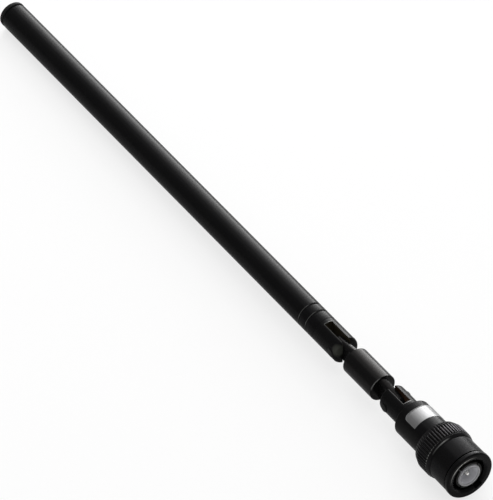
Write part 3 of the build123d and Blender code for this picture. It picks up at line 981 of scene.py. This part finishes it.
rod_foot, rod_end = station("tip_rod", 1), station("tip_rod", 0)
turned("tip_rod", [
    (rod_foot, 0, 0), (rod_foot, tip_rod_r, 0.1), (rod_end, tip_rod_r, 0.1), (rod_end, 0, 0),
], black_chrome, "section_7", "black_chrome", closed=False, around=96)

cap_satin = finish(
    "cap_satin", ((0.017, 0.017, 0.017), (0.023, 0.023, 0.022)), (0.5, 0.6), 3000, level=0.04)
cap_front, cap_tip = station("tip_cap", 1), station("tip_cap", 0)
cap_rounding = 0.35
turned("tip_cap", [
    (cap_front, tip_rod_r, 0.05),
    (cap_front, rod_r, cap_rounding),
    (cap_tip, rod_r, cap_rounding),
    (cap_tip, 0, 0),
    (rod_end, 0, 0),
    (rod_end, tip_rod_r, 0),
], cap_satin, "section_7", "black_chrome")

# Finishes of the solids that stay
kept = {
    "plug_body": black_chrome, "gasket": seal_rubber, "thrust_washer": spring_metal,
    **{f"slide_bush_{i}": bush_bronze for i in range(2, tube_count + 2)},
}
for name, material in kept.items():
    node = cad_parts[name]
    node.data.materials.clear()
    node.data.materials.append(material)

# Camera: the photograph looks down along the antenna from the plug's end
camera_azimuth, camera_elevation = radians(56.4), radians(42.4)
lens, sensor = 509.5, 36
distance = 1.9128
axis_point = Vector((-0.1053, 0, 0))  # seen near the middle of the frame
side_step = 0.00012  # of the aim, in metres
roll = 0.0029  # clockwise, in radians
back = Vector((
    sin(camera_azimuth) * cos(camera_elevation),
    -cos(camera_azimuth) * cos(camera_elevation),
    sin(camera_elevation),
))
right = Vector((cos(camera_azimuth), sin(camera_azimuth), 0))
up = back.cross(right)
square_to_mast = right * 0.7124 + up * 0.70177  # in the picture
aim = axis_point + square_to_mast * side_step
camera_data = bpy.data.cameras.new("camera")
camera_data.lens = lens
camera_data.sensor_width = sensor
camera_data.clip_end = 100
camera = bpy.data.objects.new("camera", camera_data)
scene.collection.objects.link(camera)
turn = Matrix((right, up, back)).transposed().to_4x4() @ Matrix.Rotation(-roll, 4, "Z")
camera.matrix_world = Matrix.Translation(aim + back * distance) @ turn
scene.camera = camera

# Floor: it touches the knurl and the tip cap
knurl_low = Vector((x_taper, 0, -knurl_r)) * MM
tip_low = Vector((cap_tip, 0, -rod_r)) * MM
slope = atan2(tip_low.z - knurl_low.z, knurl_low.x - tip_low.x)
floor_half = 6.0  # of its side
floor_drop = 0.00005  # clear of what touches it
white_to_camera, white_in_reflections = 0.75, 0.3
mesh = bpy.data.meshes.new("floor")
mesh.from_pydata(
    [(-floor_half, -floor_half, 0), (floor_half, -floor_half, 0),
     (floor_half, floor_half, 0), (-floor_half, floor_half, 0)], [], [(0, 1, 2, 3)])
floor_material, tree, shader = new_material("floor")
shader.inputs["Base Color"].default_value = (0.93, 0.93, 0.93, 1)
shader.inputs["Roughness"].default_value = 0.8
shader.inputs["Specular IOR Level"].default_value = 0.0
# The floor looks white to the camera and in reflections, and still shows some of the shadow
path = add_node(tree, "ShaderNodeLightPath")
reflected = add_node(tree, "ShaderNodeMath", operation="ADD")
tree.links.new(path.outputs["Is Glossy Ray"], reflected.inputs[0])
tree.links.new(path.outputs["Is Transmission Ray"], reflected.inputs[1])
direct = add_node(tree, "ShaderNodeMath", operation="MULTIPLY")
tree.links.new(path.outputs["Is Camera Ray"], direct.inputs[0])
direct.inputs[1].default_value = white_to_camera
share = add_node(tree, "ShaderNodeMath", operation="MULTIPLY_ADD")
tree.links.new(reflected.outputs[0], share.inputs[0])
share.inputs[1].default_value = white_in_reflections
tree.links.new(direct.outputs[0], share.inputs[2])
white = add_node(tree, "ShaderNodeEmission", Color=(1, 1, 1, 1), Strength=1.0)
blend = add_node(tree, "ShaderNodeMixShader")
tree.links.new(share.outputs[0], blend.inputs["Fac"])
tree.links.new(shader.outputs["BSDF"], blend.inputs[1])
tree.links.new(white.outputs["Emission"], blend.inputs[2])
tree.links.new(blend.outputs["Shader"], tree.nodes["Material Output"].inputs["Surface"])
floor = link_mesh("floor", mesh, floor_material)
floor_centre = knurl_low - Vector((0, 0, floor_drop))
floor.matrix_world = Matrix.Translation(floor_centre) @ Matrix.Rotation(slope, 4, "Y")

# Light: panels that fade from a tall softbox behind the right up to a soft top light
mast_middle = Vector((-0.11, 0, 0))
panel_distance = 2.0


def panel(name, azimuth, elevation, width, height, strength):
    """An area light that faces the antenna, angles in degrees and sizes in metres."""
    azimuth, elevation = radians(azimuth), radians(elevation)
    way = Vector((cos(azimuth) * cos(elevation), sin(azimuth) * cos(elevation), sin(elevation)))
    data = bpy.data.lights.new(name, "AREA")
    data.shape = "RECTANGLE"
    data.size, data.size_y = width, height
    data.energy = strength * width * height * pi
    light = bpy.data.objects.new(name, data)
    scene.collection.objects.link(light)
    facing = way.to_track_quat("Z", "Y").to_matrix().to_4x4()
    light.matrix_world = Matrix.Translation(mast_middle + way * panel_distance) @ facing


panel("softbox_low", 131, 13, 0.62, 0.95, 14.0)
panel("softbox_middle", 138, 33.5, 0.70, 0.48, 12.0)
panel("softbox_high", 150, 46, 0.90, 0.42, 5.5)
panel("softbox_top", 165, 62, 1.60, 0.80, 2.0)
panel("top_light", 0, 90, 1.20, 1.20, 2.0)

world = bpy.data.worlds.new("room")
scene.world = world
world.use_nodes = True
world.node_tree.nodes["Background"].inputs["Color"].default_value = (0.28, 0.28, 0.28, 1)
scene.view_settings.view_transform = "Standard"
